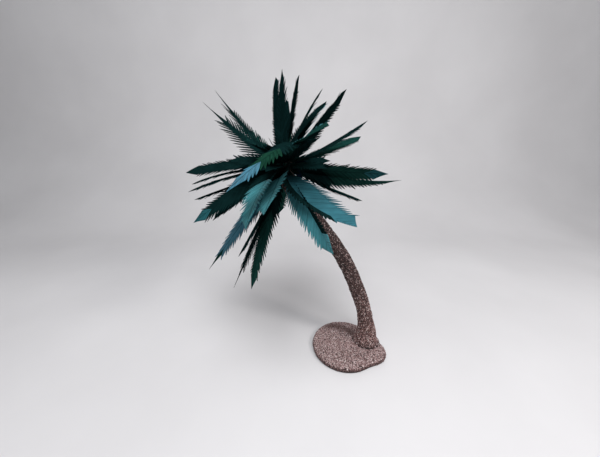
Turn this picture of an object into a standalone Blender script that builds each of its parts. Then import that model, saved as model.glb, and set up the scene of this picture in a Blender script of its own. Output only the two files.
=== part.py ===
"""Small artificial palm on a granule-coated foot plate.

Metres, +Z up. The origin is on the underside of the foot plate, at the centre of its
round disc. The trunk leans towards -X and +Y points away from the pictured side.
"""
import math

import bmesh
import bpy
from mathutils import Vector
from mathutils.bvhtree import BVHTree

# Foot plate: a round disc with a lobe under the trunk.
DISC_RADIUS = 0.0636
LOBE_RADIUS = 0.026
LOBE_CENTRE = (0.052, -0.018)
LOBE_BLEND = 0.020
PLATE_HEIGHT = 0.0095
PLATE_CENTRE = (0.014, -0.002)
PLATE_SIDES = 56
# Each pair is an inset from the rim and the height at which it lies.
PLATE_RIM = ((0.0014, 0.0), (0.0, 0.0018), (0.0, 0.0058), (0.0012, 0.0082), (0.0042, PLATE_HEIGHT))

# Trunk: it stands almost upright, leans over to the left and rises again into the crown.
GAP = 0.0003
FOOT = (0.0407, 0.0052)
TRUNK_LENGTH = 0.406
TRUNK_LEANS = (-4.5, 6.0, 19.0, 22.5, 27.0, 34.0, 37.5, 40.5, 24.5, -7.0)
TRUNK_RINGS = 30
TRUNK_SIDES = 16
FOOT_RADIUS = 0.0235
LOW_RADIUS = 0.0143
HIGH_RADIUS = 0.0112
FLARE_LENGTH = 0.012

# Head of the crown: the rounded top of the trunk, which the stems leave.
HEAD = (-0.1130, 0.0, 0.3560)
HEAD_HALF_HEIGHT = 0.0178

# Frond: rib, leaflets and an uncut arrowhead at the end.
RIB_HALF_WIDTH = 0.0011
RIB_HALF_THICKNESS = 0.0010
STEM_SHARE = 0.07
LEAFLETS = 8
LEAFLET_SWEEP = 40.0
LEAFLET_FILL = 0.94
LEAFLET_TIP_FILL = 0.40
LEAFLET_EDGE = 0.0004
LEAFLET_CUTS = (1.0, 0.8, 0.6, 0.4)
ARROW_WIDTH_SHARE = 0.29
ARROW_SWEEP = 35.0
FOLD_AT_END = 0.25
# The arching frond is split where this leaflet starts.
BENDS = {"25": 3}
# So many of the fronds show in the picture; the rest fill the crown's back and heart.
PICTURED = 31

# Name, azimuth, elevation, turn, droop, length, roll, width, arrowhead, ease, fold, twist.
# Angles in degrees and sizes in millimetres. Azimuth runs from +X towards +Y. Turn and
# droop are what azimuth and elevation gain from root to tip, and ease is the power of
# the way along at which they are gained. Fold is how far the leaflets stand up from the
# blade at its root; at its end a share of that is left. Twist is what roll gains by the tip.
FRONDS = (
    ("01", 107, 65, -28, 7, 143, -66, 52, 38, 1, 4, 2),
    ("02", 110, 50, -21, 7, 171, -79, 52, 35, 1, 7, 21),
    ("03", 87, 48, 5, -11, 149, 73, 52, 35, 1, 2, 5),
    ("04", 69, 74, -2, -16, 133, -74, 52, 35, 1, -2, 3),
    ("05", 28, 68, 0, -18, 116, -19, 52, 35, 1, 1, 8),
    ("06", 58, 52, -11, -21, 145, -18, 52, 35, 1, 11, 8),
    ("07", 25, 46, 4, 2, 147, -42, 52, 35, 1, -4, -1),
    ("08", -72, 30, 8, -23, 137, 31, 52, 35, 1, 20, 0),
    ("09", 7, 24, 5, 8, 134, -1, 52, 35, 1, 1, 2),
    ("10", 29, 19, 2, -4, 148, 4, 52, 35, 1, 1, 13),
    ("11", -16, -4, 6, 3, 141, -54, 52, 35, 1, -16, 25),
    ("12", -1, -17, 0, 21, 170, -30, 52, 38, 0.8, -15, 21),
    ("13", 20, -26, -1, 5, 143, 7, 52, 35, 1, 1, 6),
    ("14", -83, -29, 55, 17, 154, 7, 66, 35, 0.75, 37, 3),
    ("15", -66, -30, -6, 9, 165, 77, 57, 35, 1, 38, 15),
    ("16", -116, -53, -23, -25, 175, 27, 52, 35, 1.7, 3, -8),
    ("17", -135, -58, 3, 2, 178, 60, 52, 38, 1, -2, -14),
    ("18", -165, -62, -2, 4, 145, 6, 52, 35, 1, 1, -5),
    ("19", -140, -41, 2, -5, 172, 63, 52, 35, 0.6, -3, -27),
    ("20", -115, -8, 21, -26, 144, 20, 52, 35, 0.8, 20, 37),
    ("21", -94, -9, -3, -10, 142, 32, 52, 35, 1, 24, 17),
    ("22", -160, -22, -10, -15, 151, -37, 52, 35, 1, 2, 17),
    ("23", -174, -24, -8, -25, 137, -14, 52, 35, 1, 2, -6),
    ("24", 158, -32, 1, -4, 151, -15, 52, 35, 1, 1, -7),
    ("25", -11, 74, -134, -113, 190, 5, 52, 35, 0.35, 3, -1),
    ("26", -178, 11, 2, -23, 141, -19, 52, 35, 0.5, 7, -18),
    ("27", -180, 30, 2, 13, 135, -44, 52, 46, 0.5, 7, 55),
    ("28", 155, 33, 1, 16, 159, -1, 52, 52, 0.5, 12, 21),
    ("29", 166, -2, -4, -19, 170, -3, 52, 35, 1, 1, -15),
    ("30", -178, -6, 4, -17, 146, -1, 52, 35, 1, 1, -7),
    ("31", 168, -19, 0, -1, 166, -5, 52, 35, 1, 1, -5),
    ("32", 72, 26, 6, -22, 150, 10, 52, 35, 1, 18, 0),
    ("33", 110, 18, -6, -18, 146, -15, 52, 35, 1, 18, 0),
    ("34", 88, -2, 4, -22, 152, 5, 52, 35, 1, 18, 0),
    ("35", 58, -10, 0, -20, 148, -10, 52, 35, 1, 18, 0),
    ("36", 124, -6, -4, -24, 150, 15, 52, 35, 1, 18, 0),
    ("37", 101, -33, 3, -20, 150, -5, 52, 35, 1, 18, 0),
    ("38", 66, -38, 6, -18, 146, 20, 52, 35, 1, 18, 0),
    ("39", 138, -40, -4, -16, 148, -20, 52, 35, 1, 18, 0),
    ("40", -50, 36, 5, -15, 72, 10, 38, 22, 1, 15, 0),
    ("41", -132, 33, -5, -15, 68, -10, 38, 22, 1, 15, 0),
    ("42", -97, 22, 0, -15, 62, 0, 38, 20, 1, 15, 0),
    ("43", -22, 14, 6, -14, 60, 35, 34, 18, 1, 10, 0),
    ("44", -48, 6, 4, -10, 74, 15, 38, 22, 1, 10, 0),
    ("45", -104, 6, 0, -14, 70, 5, 38, 22, 1, 10, 0),
    ("46", -150, 14, -4, -16, 76, -30, 38, 22, 1, 10, 0),
    ("47", -18, 44, 0, -12, 54, 0, 34, 18, 1, 10, 0),
    ("48", -108, 34, -4, -12, 56, -10, 34, 18, 1, 10, 0),
)


def clear_scene():
    for item in list(bpy.data.objects):
        bpy.data.objects.remove(item, do_unlink=True)


def material(name, colour, roughness):
    mat = bpy.data.materials.new(name)
    mat.use_nodes = True
    shader = mat.node_tree.nodes["Principled BSDF"]
    shader.inputs["Base Color"].default_value = (*colour, 1.0)
    shader.inputs["Roughness"].default_value = roughness
    shader.inputs["Metallic"].default_value = 0.0
    mat.diffuse_color = (*colour, 1.0)
    return mat


def add_object(name, verts, faces, mat, smooth):
    mesh = bpy.data.meshes.new(name)
    mesh.from_pydata([tuple(v) for v in verts], [], faces)
    work = bmesh.new()
    work.from_mesh(mesh)
    bmesh.ops.triangulate(work, faces=work.faces[:])
    bmesh.ops.recalc_face_normals(work, faces=work.faces[:])
    work.to_mesh(mesh)
    work.free()
    for face in mesh.polygons:
        face.use_smooth = smooth
    mesh.materials.append(mat)
    item = bpy.data.objects.new(name, mesh)
    bpy.context.scene.collection.objects.link(item)
    return item


def loft(rings):
    """Closed body through rings of equal count, with flat ends."""
    count = len(rings[0])
    verts = [point for ring in rings for point in ring]
    faces = []
    for row in range(len(rings) - 1):
        for col in range(count):
            nxt = (col + 1) % count
            a = row * count
            faces.append((a + col, a + nxt, a + count + nxt, a + count + col))
    faces.append(tuple(range(count - 1, -1, -1)))
    last = (len(rings) - 1) * count
    faces.append(tuple(range(last, last + count)))
    return verts, faces


def blend(near, far, reach):
    """Smooth least of two distances."""
    share = max(reach - abs(near - far), 0.0) / reach
    return min(near, far) - share * share * reach * 0.25


def plate_distance(x, y):
    disc = math.hypot(x, y) - DISC_RADIUS
    lobe = math.hypot(x - LOBE_CENTRE[0], y - LOBE_CENTRE[1]) - LOBE_RADIUS
    return blend(disc, lobe, LOBE_BLEND)


def plate_reach(angle, inset):
    low = 0.0
    high = 0.15
    for _ in range(40):
        mid = (low + high) / 2
        x = PLATE_CENTRE[0] + mid * math.cos(angle)
        y = PLATE_CENTRE[1] + mid * math.sin(angle)
        if plate_distance(x, y) < -inset:
            low = mid
        else:
            high = mid
    return low


def foot_plate(mat):
    rings = []
    for inset, height in PLATE_RIM:
        ring = []
        for step in range(PLATE_SIDES):
            angle = 2 * math.pi * step / PLATE_SIDES
            reach = plate_reach(angle, inset)
            x = PLATE_CENTRE[0] + reach * math.cos(angle)
            y = PLATE_CENTRE[1] + reach * math.sin(angle)
            ring.append((x, y, height))
        rings.append(ring)
    verts, faces = loft(rings)
    return add_object("foot_plate", verts, faces, mat, False)


def trunk_line():
    """Centres and leans of the trunk's rings, up to the foot of the head."""
    points = [Vector((FOOT[0], FOOT[1], PLATE_HEIGHT + GAP))]
    leans = [0.0]
    spans = len(TRUNK_LEANS) - 1
    for step in range(TRUNK_RINGS):
        place = (step + 0.5) / TRUNK_RINGS * spans
        low = min(int(place), spans - 1)
        lean = TRUNK_LEANS[low] + (TRUNK_LEANS[low + 1] - TRUNK_LEANS[low]) * (place - low)
        angle = math.radians(lean)
        move = TRUNK_LENGTH / TRUNK_RINGS
        away = (HEAD[1] - FOOT[1]) / TRUNK_RINGS
        points.append(points[-1] + Vector((-math.sin(angle) * move, away, math.cos(angle) * move)))
        leans.append(angle)
    return points, leans


def trunk_radius(share):
    taper = LOW_RADIUS + (HIGH_RADIUS - LOW_RADIUS) * share
    flare = (FOOT_RADIUS - LOW_RADIUS) * math.exp(-share * TRUNK_LENGTH / FLARE_LENGTH)
    head = 0.0022 * math.exp(-(((1.0 - share) * TRUNK_LENGTH - 0.030) / 0.022) ** 2)
    return taper + flare + head


def trunk_rings():
    points, leans = trunk_line()
    rings = []
    for row, (point, lean) in enumerate(zip(points, leans)):
        share = row / TRUNK_RINGS
        radius = trunk_radius(share)
        from_top = (1.0 - share) * TRUNK_LENGTH
        if from_top < HEAD_HALF_HEIGHT:
            rise = 1.0 - from_top / HEAD_HALF_HEIGHT
            radius *= math.sqrt(max(1.0 - rise * rise, 0.08))
        side = Vector((math.cos(lean), 0.0, math.sin(lean)))
        ring = []
        for step in range(TRUNK_SIDES):
            angle = 2 * math.pi * step / TRUNK_SIDES
            offset = side * (radius * math.cos(angle)) + Vector((0.0, radius * math.sin(angle), 0.0))
            ring.append(point + offset)
        rings.append(ring)
    return rings


def root_distance(ahead, side, over, bark_tree):
    """How far from the head's middle a stem starts, so that its end is clear of the trunk."""
    furthest = 0.0
    for across in (-1, 0, 1):
        for along in (-1, 0, 1):
            shift = side * (across * (RIB_HALF_WIDTH + GAP)) + over * (along * (RIB_HALF_THICKNESS + GAP))
            start = Vector(HEAD) + shift + ahead * 0.08
            hit = bark_tree.ray_cast(start, -ahead)
            if hit[0] is not None:
                furthest = max(furthest, 0.08 - hit[3])
    return furthest + GAP


def frond_line(row, count, bark_tree):
    """Rib points with their forward, side and upper directions."""
    azimuth, elevation, turn, droop, length, roll, ease, twist = (
        row[i] for i in (1, 2, 3, 4, 5, 6, 9, 11))
    frames = []
    for step in range(count + 1):
        gain = (step / count) ** ease
        az = math.radians(azimuth + turn * gain)
        el = math.radians(elevation + droop * gain)
        ahead = Vector((math.cos(el) * math.cos(az), math.cos(el) * math.sin(az), math.sin(el)))
        level = Vector((-math.sin(az), math.cos(az), 0.0))
        over = ahead.cross(level)
        tilt = math.radians(roll + twist * (step / count) ** 2)
        side = level * math.cos(tilt) + over * math.sin(tilt)
        frames.append((ahead, side, ahead.cross(side)))
    points = [Vector(HEAD) + frames[0][0] * root_distance(*frames[0], bark_tree)]
    for step in range(count):
        mean = (frames[step][0] + frames[step + 1][0]).normalized()
        points.append(points[-1] + mean * (length * 0.001 / count))
    return points, frames


def frame_at(line, share):
    points, frames = line
    place = share * (len(points) - 1)
    low = min(int(place), len(points) - 2)
    part = place - low
    point = points[low].lerp(points[low + 1], part)
    ahead = frames[low][0].lerp(frames[low + 1][0], part).normalized()
    side = frames[low][1].lerp(frames[low + 1][1], part).normalized()
    return point, ahead, side, ahead.cross(side).normalized()


def leaflet_reach(share):
    """How wide the leaflets reach at a share of the leafy part, from 0 to 1."""
    return min(1.0, 0.75 + 2.5 * share) * (1.0 - 0.38 * share ** 1.6)


def frond_stations(row):
    """Shares of the length where the rib is cut, its half width there and its leaflets.

    The uncut end widens from its neck a little less steeply than the leaflets, which lie clear of it.
    """
    length = row[5] * 0.001
    neck = 1.0 - row[8] * 0.001 / length
    half_width = ARROW_WIDTH_SHARE * row[7] * 0.001
    run = (half_width - RIB_HALF_WIDTH) / math.tan(math.radians(ARROW_SWEEP))
    leafy = neck - STEM_SHARE
    pitch = leafy / LEAFLETS
    stations = [(0.0, 1.0, None)]
    for index in range(LEAFLETS):
        start = STEM_SHARE + index * pitch
        stations.append((start, 1.0, index))
        stations.append((start + pitch * LEAFLET_FILL, 1.0, None))
    stations.append((neck + run / length, half_width / RIB_HALF_WIDTH, None))
    stations.append((1.0, 0.4, None))
    return stations


def section(frame, half_width, half_thick):
    point, _, side, over = frame
    return [
        point + side * half_width + over * half_thick,
        point - side * half_width + over * half_thick,
        point - side * half_width - over * half_thick,
        point + side * half_width - over * half_thick,
    ]


def leaflet_tips(line, row, start, end, share, hand, cut):
    point, ahead, side, over = frame_at(line, (start + end) / 2)
    fold = math.radians(row[10] * (1.0 + (FOLD_AT_END - 1.0) * share))
    sweep = math.radians(LEAFLET_SWEEP)
    outward = side * (hand * math.cos(fold)) + over * math.sin(fold)
    reach = cut * row[7] * 0.0005 * leaflet_reach(share) / math.sin(sweep)
    tip = point + (outward * math.sin(sweep) + ahead * math.cos(sweep)) * reach
    half = ahead * ((end - start) * row[5] * 0.0005 * LEAFLET_TIP_FILL)
    edge = over * LEAFLET_EDGE
    return [tip - half + edge, tip + half + edge, tip + half - edge, tip - half - edge]


def frond_nodes(row):
    """Names and stations of a frond's nodes: it is one, or two where it arches and bends back."""
    stations = frond_stations(row)
    name = "frond_" + row[0]
    if row[0] not in BENDS:
        return [(name, stations)]
    cut = 1 + 2 * BENDS[row[0]]
    end = stations[cut][0] - GAP / (row[5] * 0.001)
    return [(name + "_rise", stations[:cut] + [(end, 1.0, None)]), (name + "_fall", stations[cut:])]


def rib_points(line, stations):
    """Four corners of the rib at each station; the uncut end is a little thinner."""
    points = []
    for share, width, _ in stations:
        thick = RIB_HALF_THICKNESS * (1.0 if width == 1.0 else 0.9)
        points += section(frame_at(line, share), RIB_HALF_WIDTH * width, thick)
    return points


def rib_faces(count, taken):
    faces = [(3, 2, 1, 0)]
    for row in range(count - 1):
        a = row * 4
        b = a + 4
        faces.append((a, b, b + 1, a + 1))
        faces.append((a + 2, b + 2, b + 3, a + 3))
        if (row, 1) not in taken:
            faces.append((a + 3, b + 3, b, a))
        if (row, -1) not in taken:
            faces.append((a + 1, b + 1, b + 2, a + 2))
    last = (count - 1) * 4
    faces.append((last, last + 1, last + 2, last + 3))
    return faces


def leaflet_faces(seat, hand, tip):
    a = seat * 4
    b = a + 4
    if hand > 0:
        top_a, low_a, top_b, low_b = a, a + 3, b, b + 3
    else:
        top_a, low_a, top_b, low_b = a + 1, a + 2, b + 1, b + 2
    faces = [
        (top_a, tip, tip + 1, top_b),
        (low_a, low_b, tip + 2, tip + 3),
        (top_b, tip + 1, tip + 2, low_b),
        (top_a, low_a, tip + 3, tip),
        (tip, tip + 3, tip + 2, tip + 1),
    ]
    if hand < 0:
        faces = [tuple(reversed(face)) for face in faces]
    return faces


HULL = ((0, 1, 2, 3), (4, 5, 6, 7), (0, 4, 5, 1), (1, 5, 6, 2), (2, 6, 7, 3), (3, 7, 4, 0))


def crosses(tree, others):
    return any(tree.overlap(other) for other in others)


def swollen(points):
    """A leaflet's six corners pushed out from their middle by the gap and a half."""
    middle = sum(points, Vector()) / len(points)
    return [p + (p - middle).normalized() * GAP * 2.5 for p in points]


class Frond:
    """One node of a frond: its rib, and the leaflets that found room."""

    def __init__(self, name, row, line, stations):
        self.name = name
        self.row = row
        self.line = line
        self.stations = stations
        self.points = rib_points(line, stations)
        self.rib_tree = BVHTree.FromPolygons(self.points, rib_faces(len(stations), set()))
        self.reach_trees = []
        self.leaflet_trees = []
        self.leaflets = []

    def grow(self, leaflet, others):
        """A leaflet that would touch anything is cut back, or left out."""
        for seat, (start, _, number) in enumerate(self.stations):
            if number != leaflet:
                continue
            end = self.stations[seat + 1][0]
            for hand in (1, -1):
                self.fit_leaflet(seat, start, end, (leaflet + 0.5) / LEAFLETS, hand, others)

    def fit_leaflet(self, seat, start, end, share, hand, others):
        corners = [self.points[seat * 4 + i] for i in ((0, 4, 7, 3) if hand > 0 else (1, 5, 6, 2))]
        for cut in LEAFLET_CUTS:
            tips = leaflet_tips(self.line, self.row, start, end, share, hand, cut)
            around = BVHTree.FromPolygons(swollen(corners + tips), HULL)
            itself = BVHTree.FromPolygons(corners + tips, HULL)
            if not crosses(around, others) and not crosses(itself, self.leaflet_trees):
                self.reach_trees.append(around)
                self.leaflet_trees.append(itself)
                self.leaflets.append((seat, hand, tips))
                return

    def body(self):
        faces = rib_faces(len(self.stations), {(seat, hand) for seat, hand, _ in self.leaflets})
        points = list(self.points)
        for seat, hand, tips in self.leaflets:
            faces += leaflet_faces(seat, hand, len(points))
            points += tips
        return points, faces


def build_fronds(mat, bark_tree):
    """Every rib stands. The pictured fronds grow their leaflets first, from the root outwards."""
    fronds = []
    for row in FRONDS:
        line = frond_line(row, 24, bark_tree)
        fronds += [Frond(name, row, line, stations) for name, stations in frond_nodes(row)]
    pictured = [frond for frond in fronds if frond.row in FRONDS[:PICTURED]]
    hidden = [frond for frond in fronds if frond.row in FRONDS[PICTURED:]]
    for group in (pictured, hidden):
        for leaflet in range(LEAFLETS):
            for frond in group:
                others = [bark_tree]
                for other in fronds:
                    if other.row is not frond.row:
                        others += [other.rib_tree] + other.reach_trees
                frond.grow(leaflet, others)
    for frond in fronds:
        points, faces = frond.body()
        add_object(frond.name, points, faces, mat, False)


def main():
    clear_scene()
    granules = material("coated_granules", (0.30, 0.19, 0.14), 0.9)
    bark = material("coated_trunk", (0.27, 0.16, 0.12), 0.9)
    sheet = material("satin_leaf_sheet", (0.02, 0.13, 0.11), 0.35)
    foot_plate(granules)
    verts, faces = loft(trunk_rings())
    add_object("trunk", verts, faces, bark, True)
    build_fronds(sheet, BVHTree.FromPolygons(verts, faces))


main()
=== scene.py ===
"""Looks of a small artificial palm on a coated foot plate.

Metres, +Z up, in the frame of the solids. The foot plate and the trunk get a coat of glued
granules, and each frond is cut from satin sheet by the rule that sizes its solid, with
finer leaflets.
"""

import math
import random

import bmesh
import bpy
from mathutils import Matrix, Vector, noise
from mathutils.bvhtree import BVHTree


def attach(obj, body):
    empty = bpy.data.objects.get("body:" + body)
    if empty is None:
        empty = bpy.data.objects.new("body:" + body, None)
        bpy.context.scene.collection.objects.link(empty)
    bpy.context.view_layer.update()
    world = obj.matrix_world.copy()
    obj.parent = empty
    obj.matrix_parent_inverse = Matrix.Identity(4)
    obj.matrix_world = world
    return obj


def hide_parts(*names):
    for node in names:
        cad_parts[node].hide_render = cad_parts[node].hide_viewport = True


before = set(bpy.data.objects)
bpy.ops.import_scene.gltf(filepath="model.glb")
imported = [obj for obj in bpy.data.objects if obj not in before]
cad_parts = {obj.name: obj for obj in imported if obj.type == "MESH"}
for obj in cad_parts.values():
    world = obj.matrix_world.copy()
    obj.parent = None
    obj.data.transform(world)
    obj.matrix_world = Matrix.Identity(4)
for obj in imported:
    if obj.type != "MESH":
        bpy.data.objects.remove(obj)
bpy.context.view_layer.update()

# Foot plate: a round disc with a lobe under the trunk.
DISC_RADIUS = 0.0636
LOBE_RADIUS = 0.026
LOBE_CENTRE = (0.052, -0.018)
LOBE_BLEND = 0.020
PLATE_HEIGHT = 0.0095
PLATE_CENTRE = (0.014, -0.002)

# The plate's bed. Each row goes up the edge: how far inside the outline, and how high.
PLATE_EDGE = (
    (0.0016, 0.0), (0.0007, 0.0012), (0.0005, 0.0030), (0.0005, 0.0052),
    (0.0010, 0.0072), (0.0024, 0.0086), (0.0046, 0.0091),
)
PLATE_SIDES = 120
TOP_RINGS = 21
TOP_RING_STEP = 0.0030
OUTLINE_INSET = 0.012
TOP_REACH = 0.058
# Lumps of a bed: how wide they are, how high, and where their pattern starts.
EDGE_LUMPS = (0.011, 0.0006, 3.0)
TOP_LUMPS = (0.013, 0.0005, 9.0)
TRUNK_LUMPS = ((0.012, 0.0012, 5.0), (0.004, 0.0006, 7.0))
SEAM_LUMPS = (0.0030, 0.0024, 2.0)

# Trunk: it stands almost upright, leans over to the left and rises again into the crown.
GAP = 0.0003
FOOT = (0.0407, 0.0052)
TRUNK_LENGTH = 0.406
TRUNK_LEANS = (-4.5, 6.0, 19.0, 22.5, 27.0, 34.0, 37.5, 40.5, 24.5, -7.0)
TRUNK_STEPS = 30
TRUNK_RINGS = 240
TRUNK_SIDES = 64
BARE_SIDES = 16
FOOT_RADIUS = 0.0235
LOW_RADIUS = 0.0143
HIGH_RADIUS = 0.0112
FLARE_LENGTH = 0.012
SWELL = 0.0022
SWELL_FROM_TOP = 0.030
SWELL_LENGTH = 0.022
HEAD = Vector((-0.1130, 0.0, 0.3560))
HEAD_HALF_HEIGHT = 0.0178
HEAD_TOP_SHARE = 0.08

# The bed of the trunk's coat lies under its grains. At the foot it spreads to the right and
# draws in at the front, swells into a buttress above that, and ends behind in a thin toe.
BED_DEPTH = 0.0005
SPREAD_RIGHT = 0.0050
DRAWN_IN_FRONT = 0.0048
SPREAD_HEIGHT = 0.013
BUTTRESS_RIGHT = 0.0052
BUTTRESS_LEFT = 0.0016
BUTTRESS_MIDDLE = 0.022
BUTTRESS_HEIGHT = 0.024
TOE_REACH = 0.0026
TOE_HEIGHT = 0.0022

# Glue that has run out under the front of the foot, near-black as painted shade of the crevice there.
SEAM_START = -132.0
SEAM_SWEEP = 76.0
SEAM_STEPS = 80
SEAM_CORNERS = 8
SEAM_BEYOND_FOOT = 0.0021
SEAM_RADIUS = 0.0009

# Frond: rib, leaflets and an uncut arrowhead at the end.
RIB_HALF_WIDTH = 0.0011
RIB_HALF_THICKNESS = 0.0010
STEM_SHARE = 0.07
LEAFLET_SWEEP = math.radians(40.0)
ARROW_WIDTH_SHARE = 0.29
FOLD_AT_END = 0.25
RAY_START = 0.08

# Finer forms that the sheet has beyond its solid.
SHEET_THICKNESS = 0.00030
LEAFLET_PITCH = 0.0058
FIRST_LEAFLET = 0.03
UNSLIT_SHARE = 0.50
BROAD_UNSLIT_SHARE = 0.60
COMBED_SHARE = 0.22
PLEAT = 0.00030
SAG = 4.5
LINE_STEPS = 48
# Each row of a leaflet: how far it is from its slit's end to its tip, and how wide it is there.
SLENDER_ROWS = ((0.24, 0.90), (0.54, 0.66), (0.80, 0.36))
COMBED_ROWS = ((0.24, 0.74), (0.60, 0.56), (0.84, 0.32))
# How leaflets differ: shares of the reach, and metres that the tip curls up or leans along.
REACH_SPREAD = (-0.12, 0.06)
CURL_SPREAD = (-0.0013, 0.0009)
LEAN_SPREAD = (-0.0014, 0.0014)

# Arrowhead: columns along it, its run up to the widest place, and what a frayed one keeps.
UNCUT_COLUMNS = 8
ARROW_RUN = 0.012
BROAD_ARROW_RUN = 0.021
FRAYED_REACH = 0.42

# Wired rib on the sheet.
TUBE_STEPS = 30
TUBE_CORNERS = 6
TUBE_RADIUS = 0.00038
TUBE_ROOT_GAIN = 0.00072
TUBE_ROOT_SHARE = 0.45

# Name, azimuth, elevation, turn, droop, length, roll, width, arrowhead, ease, fold, twist.
# Angles in degrees and sizes in millimetres. Azimuth runs from +X towards +Y. Turn and
# droop are what azimuth and elevation gain from root to tip, and ease is the power of
# the way along at which they are gained. Fold is how far the leaflets stand up from the
# blade at its root; at its end a share of that is left. Twist is what roll gains by the tip.
FRONDS = (
    ("01", 107, 65, -28, 7, 143, -66, 52, 38, 1, 4, 2),
    ("02", 110, 50, -21, 7, 171, -79, 52, 35, 1, 7, 21),
    ("03", 87, 48, 5, -11, 149, 73, 52, 35, 1, 2, 5),
    ("04", 69, 74, -2, -16, 133, -74, 52, 35, 1, -2, 3),
    ("05", 28, 68, 0, -18, 116, -19, 52, 35, 1, 1, 8),
    ("06", 58, 52, -11, -21, 145, -18, 52, 35, 1, 11, 8),
    ("07", 25, 46, 4, 2, 147, -42, 52, 35, 1, -4, -1),
    ("08", -72, 30, 8, -23, 137, 31, 52, 35, 1, 20, 0),
    ("09", 7, 24, 5, 8, 134, -1, 52, 35, 1, 1, 2),
    ("10", 29, 19, 2, -4, 148, 4, 52, 35, 1, 1, 13),
    ("11", -16, -4, 6, 3, 141, -54, 52, 35, 1, -16, 25),
    ("12", -1, -17, 0, 21, 170, -30, 52, 38, 0.8, -15, 21),
    ("13", 20, -26, -1, 5, 143, 7, 52, 35, 1, 1, 6),
    ("14", -83, -29, 55, 17, 154, 7, 66, 35, 0.75, 37, 3),
    ("15", -66, -30, -6, 9, 165, 77, 57, 35, 1, 38, 15),
    ("16", -116, -53, -23, -25, 175, 27, 52, 35, 1.7, 3, -8),
    ("17", -135, -58, 3, 2, 178, 60, 52, 38, 1, -2, -14),
    ("18", -165, -62, -2, 4, 145, 6, 52, 35, 1, 1, -5),
    ("19", -140, -41, 2, -5, 172, 63, 52, 35, 0.6, -3, -27),
    ("20", -115, -8, 21, -26, 144, 20, 52, 35, 0.8, 20, 37),
    ("21", -94, -9, -3, -10, 142, 32, 52, 35, 1, 24, 17),
    ("22", -160, -22, -10, -15, 151, -37, 52, 35, 1, 2, 17),
    ("23", -174, -24, -8, -25, 137, -14, 52, 35, 1, 2, -6),
    ("24", 158, -32, 1, -4, 151, -15, 52, 35, 1, 1, -7),
    ("25", -11, 74, -134, -113, 190, 5, 52, 35, 0.35, 3, -1),
    ("26", -178, 11, 2, -23, 141, -19, 52, 35, 0.5, 7, -18),
    ("27", -180, 30, 2, 13, 135, -44, 52, 46, 0.5, 7, 55),
    ("28", 155, 33, 1, 16, 159, -1, 52, 52, 0.5, 12, 21),
    ("29", 166, -2, -4, -19, 170, -3, 52, 35, 1, 1, -15),
    ("30", -178, -6, 4, -17, 146, -1, 52, 35, 1, 1, -7),
    ("31", 168, -19, 0, -1, 166, -5, 52, 35, 1, 1, -5),
    ("32", 72, 26, 6, -22, 150, 10, 52, 35, 1, 18, 0),
    ("33", 110, 18, -6, -18, 146, -15, 52, 35, 1, 18, 0),
    ("34", 88, -2, 4, -22, 152, 5, 52, 35, 1, 18, 0),
    ("35", 58, -10, 0, -20, 148, -10, 52, 35, 1, 18, 0),
    ("36", 124, -6, -4, -24, 150, 15, 52, 35, 1, 18, 0),
    ("37", 101, -33, 3, -20, 150, -5, 52, 35, 1, 18, 0),
    ("38", 66, -38, 6, -18, 146, 20, 52, 35, 1, 18, 0),
    ("39", 138, -40, -4, -16, 148, -20, 52, 35, 1, 18, 0),
    # Short fronds in the heart, in the plain dark tint as painted shade of the heart.
    ("40", -50, 36, 5, -15, 72, 10, 38, 22, 1, 15, 0),
    ("41", -132, 33, -5, -15, 68, -10, 38, 22, 1, 15, 0),
    ("42", -97, 22, 0, -15, 62, 0, 38, 20, 1, 15, 0),
    ("43", -22, 14, 6, -14, 60, 35, 34, 18, 1, 10, 0),
    ("44", -48, 6, 4, -10, 74, 15, 38, 22, 1, 10, 0),
    ("45", -104, 6, 0, -14, 70, 5, 38, 22, 1, 10, 0),
    ("46", -150, 14, -4, -16, 76, -30, 38, 22, 1, 10, 0),
    ("47", -18, 44, 0, -12, 54, 0, 34, 18, 1, 10, 0),
    ("48", -108, 34, -4, -12, 56, -10, 34, 18, 1, 10, 0),
)

# The arching frond is two nodes of the solids.
SPLIT_FROND = "25"
# The first rows are the fronds in front; the rest fill the crown's back and heart, where the short
# fronds are dark as painted shade.
PICTURED = 31

# Tints of the sheet, each with its sheen: the sheet's own teal and green, with lighter and darker copies
# as painted light and shade.
SHEET_TINTS = {
    "dark": ((0.0035, 0.0150, 0.0150), 0.00),
    "navy": ((0.0050, 0.0140, 0.0320), 0.00),
    "moss": ((0.0090, 0.0430, 0.0360), 0.00),
    "leaf": ((0.0080, 0.0400, 0.0250), 0.00),
    "deep": ((0.0180, 0.0850, 0.0970), 0.00),
    "sea": ((0.0290, 0.1220, 0.1520), 0.01),
    "teal": ((0.0420, 0.1820, 0.2030), 0.02),
    "bright": ((0.0600, 0.2450, 0.2800), 0.02),
    "blue": ((0.0520, 0.1750, 0.2450), 0.04),
}
# The plain tint is the sheet's dark green, and it is also painted shade on fronds and halves that lie in
# shade.
PLAIN_TINT_AND_SHADE = "dark"
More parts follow.
